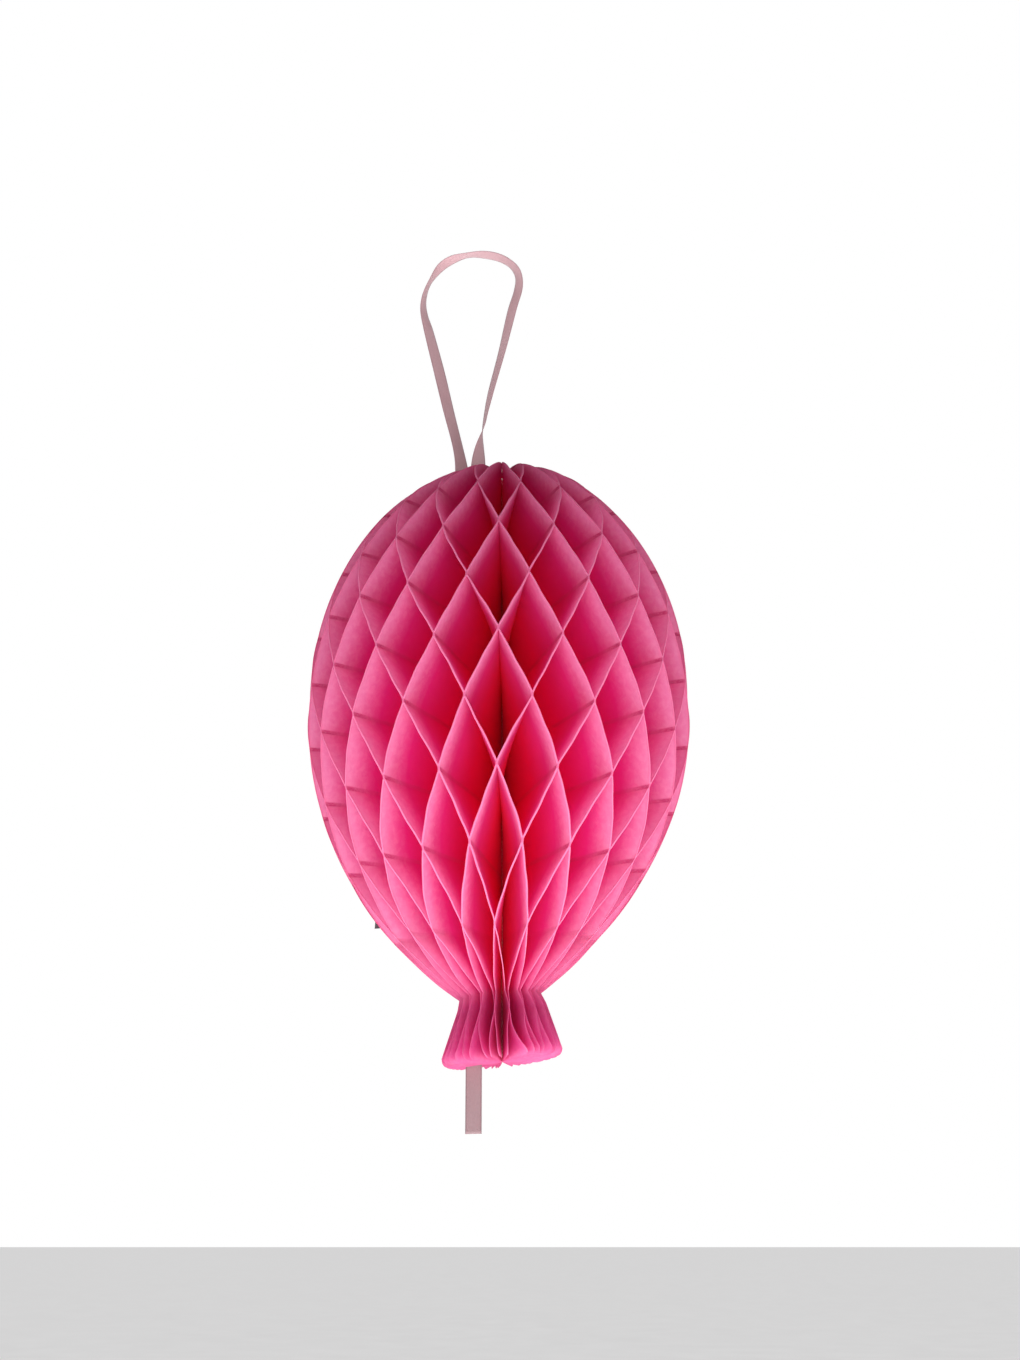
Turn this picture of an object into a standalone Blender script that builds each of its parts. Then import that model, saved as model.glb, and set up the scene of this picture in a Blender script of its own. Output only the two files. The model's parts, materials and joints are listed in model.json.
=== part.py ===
"""Paper honeycomb balloon, hanging by a ribbon loop.

Forty tissue leaves are bound along one spine and glued to their neighbours in
alternating rows, so they open like a book into a round balloon. Two card covers
meet face to face at the seam, with the ribbon and the adhesive pads between them.

Metres, +Z up. The origin is the inside of the top of the ribbon loop, where a hook
carries the balloon. The spine hangs below it, parallel to Z. Angles round the spine
are counted from the seam, counter-clockwise from above, and heights are counted
from the underside of the knot.
"""

import math

import bmesh
import bpy
import numpy as np
from mathutils import Vector
from mathutils.geometry import interpolate_bezier

# Balloon outline
BALLOON_HEIGHT = 0.250
EQUATOR_HEIGHT = 0.1415
EQUATOR_RADIUS = 0.0784
NECK_HEIGHT = 0.0245
NECK_RADIUS = 0.0157
BASE_RADIUS = 0.0230
BASE_CORNER = 0.0028
CROWN_HANDLE = 0.038
UPPER_HANDLE = 0.067
LOWER_HANDLE = 0.048
NECK_HANDLE = (0.0375, 0.027)
OUTLINE_STEPS = 48

# Tissue leaves and their glue rows
LEAF_COUNT = 40
LEAF_THICKNESS = 0.00012
LEAF_INNER_RADIUS = 0.0028
SEAM_CLEARANCE = 0.0016
GAP = 0.0003
GLUE_PITCH = 0.0273
GLUE_STRIP = 0.0030
SEAM_ROW_HEIGHT = 0.1455
ROWS_ABOVE = 5
ROWS_BELOW = 7
CROWN_STEPS = (0.0, 0.0005, 0.0018, 0.0045, 0.009, 0.015)

# Card covers, adhesive pads and spine thread
SEAM_FROM_FRONT = math.radians(108)
COVER_THICKNESS = 0.0003
COVER_INNER_RADIUS = 0.0085
COVER_MARGIN = 0.0006
PAD_THICKNESS = 0.00015
PAD_WIDTH = 0.008
UPPER_PAD_HEIGHTS = (0.125, 0.195)
PAD_LENGTH = 0.020
PAD_EDGE_MARGIN = 0.005
CLOSURE_TAB_HEIGHT = 0.0560
CLOSURE_TAB_LENGTH = 0.0055
CLOSURE_TAB_PROUD = 0.0030
THREAD_RADIUS = 0.0006
THREAD_KNOT_RADIUS = 0.0013
THREAD_END_MARGIN = 0.0030
THREAD_SIDES = 12

# Ribbon
RIBBON_WIDTH = 0.0065
RIBBON_THICKNESS = 0.00015
RUN_RADIUS = 0.0113
TUCK_RADIUS = 0.0185
TUCK_LENGTH = 0.040
RIBBON_EXIT_DROP = 0.0020
TAIL_EXIT_HEIGHT = 0.0190
TAIL_DROP = 0.0260
LOOP_RISE = 0.1218
HOOK_RADIUS = 0.0140
LOOP_STATIONS = 56
TAIL_STATIONS = 8

# The loop's centre line: distance from the spine towards the seam, height above the
# balloon's crown, and the turn of the ribbon's width out of the seam's plane.
LOOP_ROUTE = (
    (0.0185, -0.0020, 0),
    (0.0187, 0.0070, 42),
    (0.0205, 0.0183, 60),
    (0.0256, 0.0398, 57),
    (0.0306, 0.0620, 55),
    (0.0361, 0.0849, 63),
    (0.0385, 0.0954, 79),
    (0.0384, 0.1037, 98),
    (0.0357, 0.1118, 110),
    (0.0309, 0.1183, 96),
    (0.0249, 0.1216, 95),
    (0.0174, 0.1224, 107),
    (0.0084, 0.1205, 92),
    (0.0010, 0.1170, 84),
    (-0.0044, 0.1121, 75),
    (-0.0078, 0.1055, 52),
    (-0.0078, 0.0972, 32),
    (-0.0049, 0.0869, 29),
    (-0.0002, 0.0664, 37),
    (0.0050, 0.0463, 43),
    (0.0076, 0.0340, 53),
    (0.0088, 0.0264, 64),
    (0.0104, 0.0164, 110),
    (0.0112, 0.0060, 158),
    (0.0113, -0.0020, 180),
)

# Colours, linear RGB
TISSUE_PINK = (0.90, 0.17, 0.38)
CARD_PINK = (0.80, 0.16, 0.34)
RIBBON_MAUVE = (0.50, 0.27, 0.32)
THREAD_WHITE = (0.75, 0.62, 0.66)
PAD_GREY = (0.16, 0.14, 0.15)

LEAF_STEP = 2 * math.pi / LEAF_COUNT
HALF_STEP = LEAF_STEP / 2
CROWN_Z = -LOOP_RISE
BASE_Z = CROWN_Z - BALLOON_HEIGHT
COVER_FACE = PAD_THICKNESS / 2 + GAP
COVER_BACK = COVER_FACE + COVER_THICKNESS
LEAF_OFFSET = (LEAF_THICKNESS + GAP) / 2
COVER_LEAF_OFFSET = COVER_BACK + GAP + LEAF_THICKNESS / 2


def clear_scene():
    for obj in list(bpy.data.objects):
        bpy.data.objects.remove(obj, do_unlink=True)


def material(name, colour, roughness):
    made = bpy.data.materials.new(name)
    made.use_nodes = True
    shader = made.node_tree.nodes["Principled BSDF"]
    shader.inputs["Base Color"].default_value = (*colour, 1.0)
    shader.inputs["Roughness"].default_value = roughness
    shader.inputs["Metallic"].default_value = 0.0
    return made


def balloon_outline():
    """Radii and heights of the balloon's edge, from the knot's underside to the crown."""
    points = []
    for step in range(5):
        turn = math.radians(90) * step / 4
        radius = BASE_RADIUS - BASE_CORNER * (1 - math.sin(turn))
        points.append((radius, BASE_CORNER * (1 - math.cos(turn))))
    neck = Vector((NECK_RADIUS, NECK_HEIGHT, 0))
    neck_out = neck + Vector((*NECK_HANDLE, 0))
    equator = Vector((EQUATOR_RADIUS, EQUATOR_HEIGHT, 0))
    below = equator - Vector((0, LOWER_HANDLE, 0))
    above = equator + Vector((0, UPPER_HANDLE, 0))
    crown = Vector((0, BALLOON_HEIGHT, 0))
    crown_out = crown + Vector((CROWN_HANDLE, 0, 0))
    lower = interpolate_bezier(neck, neck_out, below, equator, OUTLINE_STEPS)
    upper = interpolate_bezier(equator, above, crown_out, crown, OUTLINE_STEPS)
    points += [(p.x, p.y) for p in lower]
    points += [(p.x, p.y) for p in upper[1:]]
    return points


OUTLINE = balloon_outline()


def outline_radius(height):
    radii, heights = zip(*OUTLINE)
    return float(np.interp(height, heights, radii))


def next_row(height, direction):
    """The next glue row: the paper's pitch, shortened where its cells stand open."""
    reach = height + direction * GLUE_PITCH
    for _ in range(4):
        swing = 2 * outline_radius((height + reach) / 2) * math.sin(HALF_STEP)
        reach = height + direction * math.sqrt(GLUE_PITCH**2 - swing**2)
    return reach


def glue_rows():
    """Heights of the rows, upwards, and +1 for those that are glued to the covers."""
    rows = [(SEAM_ROW_HEIGHT, 1)]
    for _ in range(ROWS_ABOVE):
        rows.append((next_row(rows[-1][0], 1), -rows[-1][1]))
    for _ in range(ROWS_BELOW):
        rows.insert(0, (next_row(rows[0][0], -1), -rows[0][1]))
    return rows


ROWS = glue_rows()


def row_blend(height):
    """+1 on a row that is glued to the covers, -1 on a row between, even in between."""
    half = GLUE_STRIP / 2
    heights = []
    values = []
    for row_height, value in ROWS:
        heights += [row_height - half, row_height + half]
        values += [value, value]
    return float(np.interp(height, heights, values))


def leaf_heights():
    """Heights where a leaf's edge or its fold changes, upwards."""
    half = GLUE_STRIP / 2
    heights = [0.0, BASE_CORNER, NECK_HEIGHT]
    heights += [BALLOON_HEIGHT - step for step in CROWN_STEPS]
    lowest_crown = BALLOON_HEIGHT - CROWN_STEPS[-1]
    for row_height, _ in ROWS:
        for edge in (row_height - half, row_height + half):
            if BASE_CORNER < edge < lowest_crown - half:
                heights.append(edge)
    return sorted(heights)


def band(name, loops, parent, finish):
    """A closed solid through four-cornered loops, split alike on both of its faces."""
    bm = bmesh.new()
    rings = [[bm.verts.new(corner) for corner in loop] for loop in loops]
    for low, high in zip(rings, rings[1:]):
        front_a, front_b, back_b, back_a = low
        front_c, front_d, back_d, back_c = high
        bm.faces.new((front_a, front_b, front_d))
        bm.faces.new((front_a, front_d, front_c))
        bm.faces.new((back_a, back_d, back_b))
        bm.faces.new((back_a, back_c, back_d))
        bm.faces.new((front_a, front_c, back_c, back_a))
        bm.faces.new((front_b, back_b, back_d, front_d))
    bm.faces.new(rings[0])
    bm.faces.new(rings[-1])
    return finished(name, bm, parent, finish)


def finished(name, bm, parent, finish):
    bmesh.ops.recalc_face_normals(bm, faces=bm.faces)
    mesh = bpy.data.meshes.new(name)
    bm.to_mesh(mesh)
    bm.free()
    mesh.materials.append(finish)
    made = bpy.data.objects.new(name, mesh)
    made.parent = parent
    bpy.context.collection.objects.link(made)
    return made


def leaf(number, parent, finish):
    """One tissue leaf, with its middle plane in its own XZ plane."""
    glued_side = -1 if number % 2 else 1
    from_seam = LEAF_STEP * min(number, LEAF_COUNT + 1 - number, LEAF_COUNT / 4)
    inner = max(LEAF_INNER_RADIUS, SEAM_CLEARANCE / math.sin(from_seam))
    low_offset = COVER_LEAF_OFFSET if number == 1 else LEAF_OFFSET
    high_offset = COVER_LEAF_OFFSET if number == LEAF_COUNT else LEAF_OFFSET
    skin = Vector((0, LEAF_THICKNESS / 2, 0))
    loops = []
    for height in leaf_heights():
        swing = glued_side * row_blend(height)
        offset = low_offset * (1 - swing) / 2 - high_offset * (1 + swing) / 2
        angle = HALF_STEP * swing
        outer = max(outline_radius(height), inner + GAP)
        along = Vector((math.cos(angle), math.sin(angle), 0))
        across = Vector((-math.sin(angle), math.cos(angle), 0))
        lift = Vector((0, 0, BASE_Z + height))
        near = along * inner + across * offset + lift
        far = along * outer + across * offset + lift
        loops.append((near + skin, far + skin, far - skin, near - skin))
    made = band(f"leaf_{number:02d}", loops, parent, finish)
    made.rotation_euler.z = LEAF_STEP * (number - 0.5)
    return made


def plate(name, edge, low, high, parent, finish):
    """A flat sheet with the given edge, in radius and height, between two offsets."""
    bm = bmesh.new()
    front = [bm.verts.new((radius, low, BASE_Z + height)) for radius, height in edge]
    back = [bm.verts.new((radius, high, BASE_Z + height)) for radius, height in edge]
    bm.faces.new(front)
    bm.faces.new(back[::-1])
    for here in range(len(edge)):
        after = (here + 1) % len(edge)
        bm.faces.new((front[here], back[here], back[after], front[after]))
    return finished(name, bm, parent, finish)


def cover(name, side, parent, finish):
    """A card cover, on the +1 or -1 side of the seam's plane."""
    edge = [(COVER_INNER_RADIUS, COVER_MARGIN)]
    for radius, height in OUTLINE[::2]:
        trimmed = radius - COVER_MARGIN
        if trimmed > COVER_INNER_RADIUS + COVER_MARGIN and height > COVER_MARGIN:
            edge.append((trimmed, height))
    edge.append((COVER_INNER_RADIUS, edge[-1][1]))
    faces = sorted((side * COVER_FACE, side * COVER_BACK))
    return plate(name, edge, *faces, parent, finish)


def adhesive_pad(name, middle, length, outer, width, parent, finish):
    corners = []
    for height in (middle - length / 2, middle + length / 2):
        corners += [(outer - width, height), (outer, height)]
    edge = [corners[0], corners[1], corners[3], corners[2]]
    half = PAD_THICKNESS / 2
    return plate(name, edge, -half, half, parent, finish)


def spine_thread(parent, finish):
    """The binding thread, turned round the spine, with a knot at each end."""
    low = BASE_Z + THREAD_END_MARGIN
    high = CROWN_Z - THREAD_END_MARGIN
    knot = THREAD_KNOT_RADIUS
    profile = [
        (THREAD_RADIUS, low),
        (knot, low + knot),
        (knot, low + 2 * knot),
        (THREAD_RADIUS, low + 3 * knot),
        (THREAD_RADIUS, high - 3 * knot),
        (knot, high - 2 * knot),
        (knot, high - knot),
        (THREAD_RADIUS, high),
    ]
    bm = bmesh.new()
    rings = []
    for radius, z in profile:
        ring = []
        for side in range(THREAD_SIDES):
            turn = 2 * math.pi * side / THREAD_SIDES
            ring.append(bm.verts.new((radius * math.cos(turn), radius * math.sin(turn), z)))
        rings.append(ring)
    for lower, upper in zip(rings, rings[1:]):
        for side in range(THREAD_SIDES):
            after = (side + 1) % THREAD_SIDES
            bm.faces.new((lower[side], lower[after], upper[after], upper[side]))
    bm.faces.new(rings[0][::-1])
    bm.faces.new(rings[-1])
    made = finished("spine_thread", bm, parent, finish)
    made.data.shade_smooth()
    made.data.set_sharp_from_angle(angle=math.radians(50))
    return made


def smooth_route(points, stations):
    """Evenly spread stations on the smooth curve through a route's points."""
    samples = []
    padded = [points[0], *points, points[-1]]
    for before, start, end, after in zip(padded, padded[1:], padded[2:], padded[3:]):
        for step in range(12):
            t = step / 12
            samples.append(catmull_rom(before, start, end, after, t))
    samples.append(np.array(points[-1], dtype=float))
    lengths = [0.0]
    for here, there in zip(samples, samples[1:]):
        lengths.append(lengths[-1] + math.hypot(*(there - here)[:2]))
    wanted = np.linspace(0, lengths[-1], stations)
    columns = [np.interp(wanted, lengths, column) for column in zip(*samples)]
    return list(zip(*columns))


def catmull_rom(before, start, end, after, t):
    p0, p1, p2, p3 = (np.array(p, dtype=float) for p in (before, start, end, after))
    steady = 2 * p1 + (p2 - p0) * t
    square = (2 * p0 - 5 * p1 + 4 * p2 - p3) * t**2
    cube = (3 * p1 - p0 - 3 * p2 + p3) * t**3
    return (steady + square + cube) / 2


def ribbon(name, route, parent, finish):
    """A flat ribbon along (radius, z, turn) stations in the seam's plane."""
    loops = []
    last = len(route) - 1
    for here, (radius, z, turn) in enumerate(route):
        before = route[max(here - 1, 0)]
        after = route[min(here + 1, last)]
        along = Vector((after[0] - before[0], 0, after[1] - before[1])).normalized()
        in_plane = Vector((along.z, 0, -along.x))
        out_of_plane = Vector((0, 1, 0))
        angle = math.radians(turn)
        width = in_plane * math.cos(angle) + out_of_plane * math.sin(angle)
        skin = along.cross(width) * RIBBON_THICKNESS / 2
        width *= RIBBON_WIDTH / 2
        centre = Vector((radius, 0, z))
        corners = (centre - width + skin, centre + width + skin)
        loops.append((*corners, centre + width - skin, centre - width - skin))
    return band(name, loops, parent, finish)


def straight_route(radius, high, low, turn, stations):
    return [(radius, z, turn) for z in np.linspace(high, low, stations)]


def build():
    clear_scene()
    tissue = material("tissue", TISSUE_PINK, 0.85)
    card = material("card", CARD_PINK, 0.7)
    satin = material("ribbon", RIBBON_MAUVE, 0.45)
    cotton = material("thread", THREAD_WHITE, 0.8)
    adhesive = material("adhesive", PAD_GREY, 0.6)

    seam = -math.pi / 2 - SEAM_FROM_FRONT
    spine = bpy.data.objects.new("spine_axis", None)
    spine.location = (-HOOK_RADIUS * math.cos(seam), -HOOK_RADIUS * math.sin(seam), 0)
    spine.rotation_euler.z = seam
    bpy.context.collection.objects.link(spine)

    for number in range(1, LEAF_COUNT + 1):
        leaf(number, spine, tissue)
    cover("fixed_cover", 1, spine, card)
    cover("moving_cover", -1, spine, card)
    spine_thread(spine, cotton)

    for number, height in enumerate(UPPER_PAD_HEIGHTS, start=2):
        outer = outline_radius(height) - PAD_EDGE_MARGIN
        name = f"adhesive_pad_{number}"
        adhesive_pad(name, height, PAD_LENGTH, outer, PAD_WIDTH, spine, adhesive)
    tab_outer = outline_radius(CLOSURE_TAB_HEIGHT) + CLOSURE_TAB_PROUD
    adhesive_pad(
        "adhesive_pad_1", CLOSURE_TAB_HEIGHT, CLOSURE_TAB_LENGTH,
        tab_outer, PAD_WIDTH + CLOSURE_TAB_PROUD, spine, adhesive,
    )

    loop = [(r, CROWN_Z + h, turn) for r, h, turn in smooth_route(LOOP_ROUTE, LOOP_STATIONS)]
    ribbon("ribbon_loop", loop, spine, satin)
    exit_z = CROWN_Z - RIBBON_EXIT_DROP - GAP
    tuck = straight_route(TUCK_RADIUS, exit_z, exit_z - TUCK_LENGTH, 0, 2)
    ribbon("ribbon_tuck", tuck, spine, satin)
    tail_z = BASE_Z + TAIL_EXIT_HEIGHT
    ribbon("ribbon_run", straight_route(RUN_RADIUS, exit_z, tail_z + GAP, 0, 2), spine, satin)
    tail = straight_route(RUN_RADIUS, tail_z, BASE_Z - TAIL_DROP, 0, TAIL_STATIONS)
    ribbon("ribbon_tail", tail, spine, satin)


build()
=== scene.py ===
"""Looks for the paper honeycomb balloon: tissue leaves, card covers and satin ribbon.

Metres, +Z up, in the frame of the CAD model. The spine is the vertical line that the
leaves are bound along. Angles round it are counted from the seam, counter-clockwise
from above, and paper heights are counted from the underside of the knot.
"""

import json
import math
import random

import bmesh
import bpy
import numpy as np
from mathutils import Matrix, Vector
from mathutils.geometry import interpolate_bezier


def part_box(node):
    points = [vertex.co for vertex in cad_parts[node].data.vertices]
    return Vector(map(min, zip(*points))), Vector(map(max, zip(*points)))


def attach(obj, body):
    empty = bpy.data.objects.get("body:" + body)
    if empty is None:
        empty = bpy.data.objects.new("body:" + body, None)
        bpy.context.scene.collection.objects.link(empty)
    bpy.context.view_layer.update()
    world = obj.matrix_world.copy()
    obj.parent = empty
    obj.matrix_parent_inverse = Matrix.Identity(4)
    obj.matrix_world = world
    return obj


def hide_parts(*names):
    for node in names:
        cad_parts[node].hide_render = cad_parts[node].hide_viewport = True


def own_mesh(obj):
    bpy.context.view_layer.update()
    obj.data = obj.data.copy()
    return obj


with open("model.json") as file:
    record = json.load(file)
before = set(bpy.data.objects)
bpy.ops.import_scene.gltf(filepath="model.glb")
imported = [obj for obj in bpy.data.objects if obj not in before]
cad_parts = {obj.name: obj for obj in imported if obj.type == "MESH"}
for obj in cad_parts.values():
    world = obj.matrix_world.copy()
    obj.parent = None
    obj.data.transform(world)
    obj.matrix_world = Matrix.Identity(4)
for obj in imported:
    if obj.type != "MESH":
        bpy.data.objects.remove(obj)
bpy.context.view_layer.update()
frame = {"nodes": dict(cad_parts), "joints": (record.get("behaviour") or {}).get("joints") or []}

# Places from the frame
fold = next(joint for joint in frame["joints"] if joint["name"] == "cover_fold")
SPINE = Vector((fold["pos_m"][0], fold["pos_m"][1], 0))
leaf_low, leaf_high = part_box("leaf_10")
BASE_Z = leaf_low.z
CROWN_Z = leaf_high.z
BALLOON_HEIGHT = CROWN_Z - BASE_Z

# Balloon outline, as the leaves are cut
EQUATOR_HEIGHT = 0.1415
EQUATOR_RADIUS = 0.0784
NECK_HEIGHT = 0.0245
NECK_RADIUS = 0.0157
BASE_RADIUS = 0.0230
BASE_CORNER = 0.0028
CORNER_STEPS = 8
CROWN_HANDLE = 0.038
UPPER_HANDLE = 0.067
LOWER_HANDLE = 0.048
NECK_HANDLE = (0.0375, 0.027)
OUTLINE_STEPS = 60

# Leaves, their glue rows and the seam
LEAF_COUNT = 40
LEAF_STEP = 2 * math.pi / LEAF_COUNT
LEAF_ROOT = 0.0005
LEAST_WIDTH = 0.0004
SKIN = 0.00006
GLUE_PITCH = 0.0273
GLUE_STRIP = 0.0012
CREASE = 0.0004
SEAM_ROW_HEIGHT = 0.1455
ROWS_ABOVE = 5
ROWS_BELOW = 7
SEAM_FROM_FRONT = math.radians(108)
SEAM_ANGLE = -math.pi / 2 - SEAM_FROM_FRONT
OPEN_RADIUS = 0.060
LEAST_OPEN = 0.25

# Rows and columns of vertices in a leaf
RAMP_STEPS = 14
KNOT_STEPS = (0.0, 0.0004, 0.0010, 0.0018)
NECK_STEPS = (-0.0008, 0.0, 0.0008, 0.0020)
CROWN_STEPS = (0.0, 0.0003, 0.0008, 0.0016, 0.0027, 0.0042, 0.006, 0.0085, 0.0115, 0.015)
LEAST_ROW_GAP = 0.0002
LEAF_COLUMNS = 16
RIM_COLUMNS = (0.0013, 0.0007, 0.0)
LEAST_COLUMN_GAP = 0.0001

# The paper's curve from one glue row to the next
S_CURVE_AT_RIM = 0.06
S_CURVE_INSIDE = 0.45
S_CURVE_DEPTH = 0.030

# The soft cut edge, and the painted highlight along it
CAP_COLUMNS = 2
CAP_WIDTH = 0.00036
CAP_ROUND = 0.00008
RIM_HIGHLIGHT_SHARE = 0.6
RIM_HIGHLIGHT_WIDTH = 0.0013

# Hand-made unevenness
NODE_TURN = math.radians(0.45)
NODE_RISE = 0.0006
END_FADE = 0.006
BULGE = 0.0007
BULGE_REACH = 0.9
RIM_WAVE = 0.00015
RIM_WAVE_PACE = 520
RIM_WAVE_WIDTH = 0.004
PUCKER = 0.00012
PUCKER_PACE = 900
FRINGE_HEIGHT = 0.012
FRINGE_CURL = 0.0016
FRINGE_WAVES = ((3, 1.1, 0.5), (7, 4.0, 0.9), (11, 2.2, 0.7))
KNOT_TWIST = math.radians(8)

# How the open body hangs: its lean by height, and a lower left side
LEAN_HEIGHTS = (0.0, 0.020, 0.030, 0.045, 0.065, 0.100, 0.160, 0.230, 0.250)
LEAN = (0.0, 0.0, -0.0016, -0.0026, -0.0022, -0.0013, -0.0013, -0.0009, 0.0)
DROOP_HEIGHTS = (0.0, 0.020, 0.040, 0.250)
DROOP = (0.0022, 0.0016, 0.0006, 0.0010)

# Covers, closure pads and the tab at the seam's lower edge
COVER_FACE = 0.000375
COVER_BACK = 0.000675
COVER_INNER_RADIUS = 0.0085
COVER_MARGIN = 0.0006
PAD_HALF = 0.000075
PAD_WIDTH = 0.008
PAD_LENGTH = 0.020
PAD_HEIGHTS = (0.125, 0.195)
PAD_EDGE_MARGIN = 0.005
TAB_HEIGHT = 0.0570
TAB_LENGTH = 0.0042
TAB_PROUD = 0.0020
PAD_ROWS = 12
PLATE_COLUMNS = 14

# Ribbon
RIBBON_WIDTH = 0.0065
RIBBON_THICKNESS = 0.00018
RIBBON_CUP = 0.00025
RIBBON_COLUMNS = 9
SELVEDGE_START = 0.4
SELVEDGE_SWELL = 1.25
RUN_RADIUS = 0.0113
TUCK_RADIUS = 0.0185
TUCK_LENGTH = 0.040
RIBBON_EXIT_DROP = 0.0020
TAIL_EXIT_HEIGHT = 0.0190
TAIL_DROP = 0.0260
GAP = 0.0003
ROUTE_STEPS = 12
LOOP_STATIONS = 150
TAIL_STATIONS = 46
TUCK_STATIONS = 30
RUN_STATIONS = 120

# The loop's route in the seam's plane: radius, height over the crown and turn in degrees
LOOP_ROUTE = (
    (0.0185, -0.0020, 0),
    (0.0187, 0.0070, 42),
    (0.0205, 0.0183, 60),
    (0.0256, 0.0398, 57),
    (0.0306, 0.0620, 55),
    (0.0361, 0.0849, 63),
    (0.0385, 0.0954, 79),
    (0.0384, 0.1037, 98),
    (0.0357, 0.1118, 110),
    (0.0309, 0.1183, 96),
    (0.0249, 0.1216, 95),
    (0.0174, 0.1224, 107),
    (0.0084, 0.1205, 92),
    (0.0010, 0.1170, 84),
    (-0.0044, 0.1121, 75),
    (-0.0078, 0.1055, 52),
    (-0.0078, 0.0972, 32),
    (-0.0049, 0.0869, 29),
    (-0.0002, 0.0664, 37),
    (0.0050, 0.0463, 43),
    (0.0076, 0.0340, 53),
    (0.0088, 0.0264, 64),
    (0.0104, 0.0164, 110),
    (0.0112, 0.0060, 158),
    (0.0113, -0.0020, 180),
)

# Where the tissue's colours change, painted light and shade among them: lengths in metres, and shares
# Darker glue strips: the real glued double layer, with painted crease shade, fainter low down
GLUE_FADE_HEIGHT = 0.040
GLUE_FADE = 0.020
FAINT_GLUE = 0.15
# Painted light: paler tissue near the open rim, less so low down
PAINTED_LIGHT_WIDTH = 0.008
PAINTED_LIGHT_HEIGHT = 0.040
LEAST_PAINTED_LIGHT = 0.25
# Painted shade deeper in the cells, towards the spine
NARROW_DEPTH_SHARE = 0.6
# Painted shade on the knot, fainter at its lower edge
KNOT_SHADE_BLEND = 0.004
KNOT_SHADE_AT_EDGE = 0.3
SHEET_SPACING = 0.1

# Tissue colours: its own tones, and painted light and shade
TISSUE_PINK = (0.80, 0.20, 0.44)
TISSUE_DEEP = (0.74, 0.15, 0.37)
TISSUE_PALE = (0.86, 0.32, 0.55)
# painted light near the open rim
TISSUE_PAINTED_LIGHT = (0.93, 0.36, 0.60)
# painted shade: deeper crimson further into the cells, towards the spine
TISSUE_INNER_SHADE = (0.75, 0.01, 0.25)
TISSUE_DEEPEST_SHADE = (0.98, 0.003, 0.20)
# painted shade on the knot
TISSUE_KNOT_SHADE = (0.62, 0.025, 0.24)
# glue strips: the real glued double layer, darkened further as painted crease shade
TISSUE_GLUE_AND_CREASE_SHADE = (0.60, 0.06, 0.22)
# painted highlight along the cut edge
TISSUE_HIGHLIGHT = (0.88, 0.24, 0.47)
TISSUE_GLOW = (0.94, 0.02, 0.26)
TISSUE_SHOW_THROUGH = 0.35

# Ribbon, card, tape, thread and floor colours
RIBBON_MAUVE = (0.64, 0.39, 0.42)
RIBBON_DEEP = (0.54, 0.31, 0.34)
RIBBON_PALE = (0.74, 0.50, 0.53)
RIBBON_SELVEDGE = (0.44, 0.25, 0.28)
# Painted shade: the tail's copy of the ribbon is multiplied darker than the loop's
LOOP_SHADE_FACTOR = (1.0, 1.0, 1.0)
TAIL_SHADE_FACTOR = (0.48, 0.48, 0.48)
CARD_COLOURS = ((0.56, 0.12, 0.24), (0.63, 0.17, 0.30))
TAPE_COLOURS = ((0.05, 0.045, 0.05), (0.09, 0.08, 0.085))
THREAD_COLOURS = ((0.55, 0.36, 0.42), (0.85, 0.70, 0.74))
FLOOR_COLOURS = ((0.86, 0.86, 0.86), (0.9, 0.9, 0.9))

# Floor
FLOOR_DROP = 0.50
FLOOR_SIZE = 60.0
FLOOR_GLOW = 0.55

# Camera
CAMERA_DISTANCE = 0.600
CAMERA_BELOW = math.radians(20.3)
AIM_HEIGHT = 0.1465
LENS = 38.3
LENS_SHIFT = (0.0059, 0.0147)
SENSOR_WIDTH = 36
CLIP_START = 0.01

# Soft lights: name, turn and rise in degrees, distance, size and power
SOFTBOXES = (
    ("key", 0, -80, 0.56, 0.7, 1.5),
    ("front", 0, -34, 0.60, 0.7, 2.9),
    ("side_left", -75, -25, 0.65, 0.6, 2.1),
    ("side_right", 75, -25, 0.65, 0.6, 2.4),
    ("back", 180, -35, 0.75, 0.8, 2.2),
    ("top", 0, 60, 0.80, 0.6, 0.35),
)
WORLD_LIGHT = ((1.0, 0.98, 0.99), 0.2)
BOUNCES = 24
SOFT_BOUNCES = 16


# ---------------------------------------------------------------- node helpers


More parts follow.
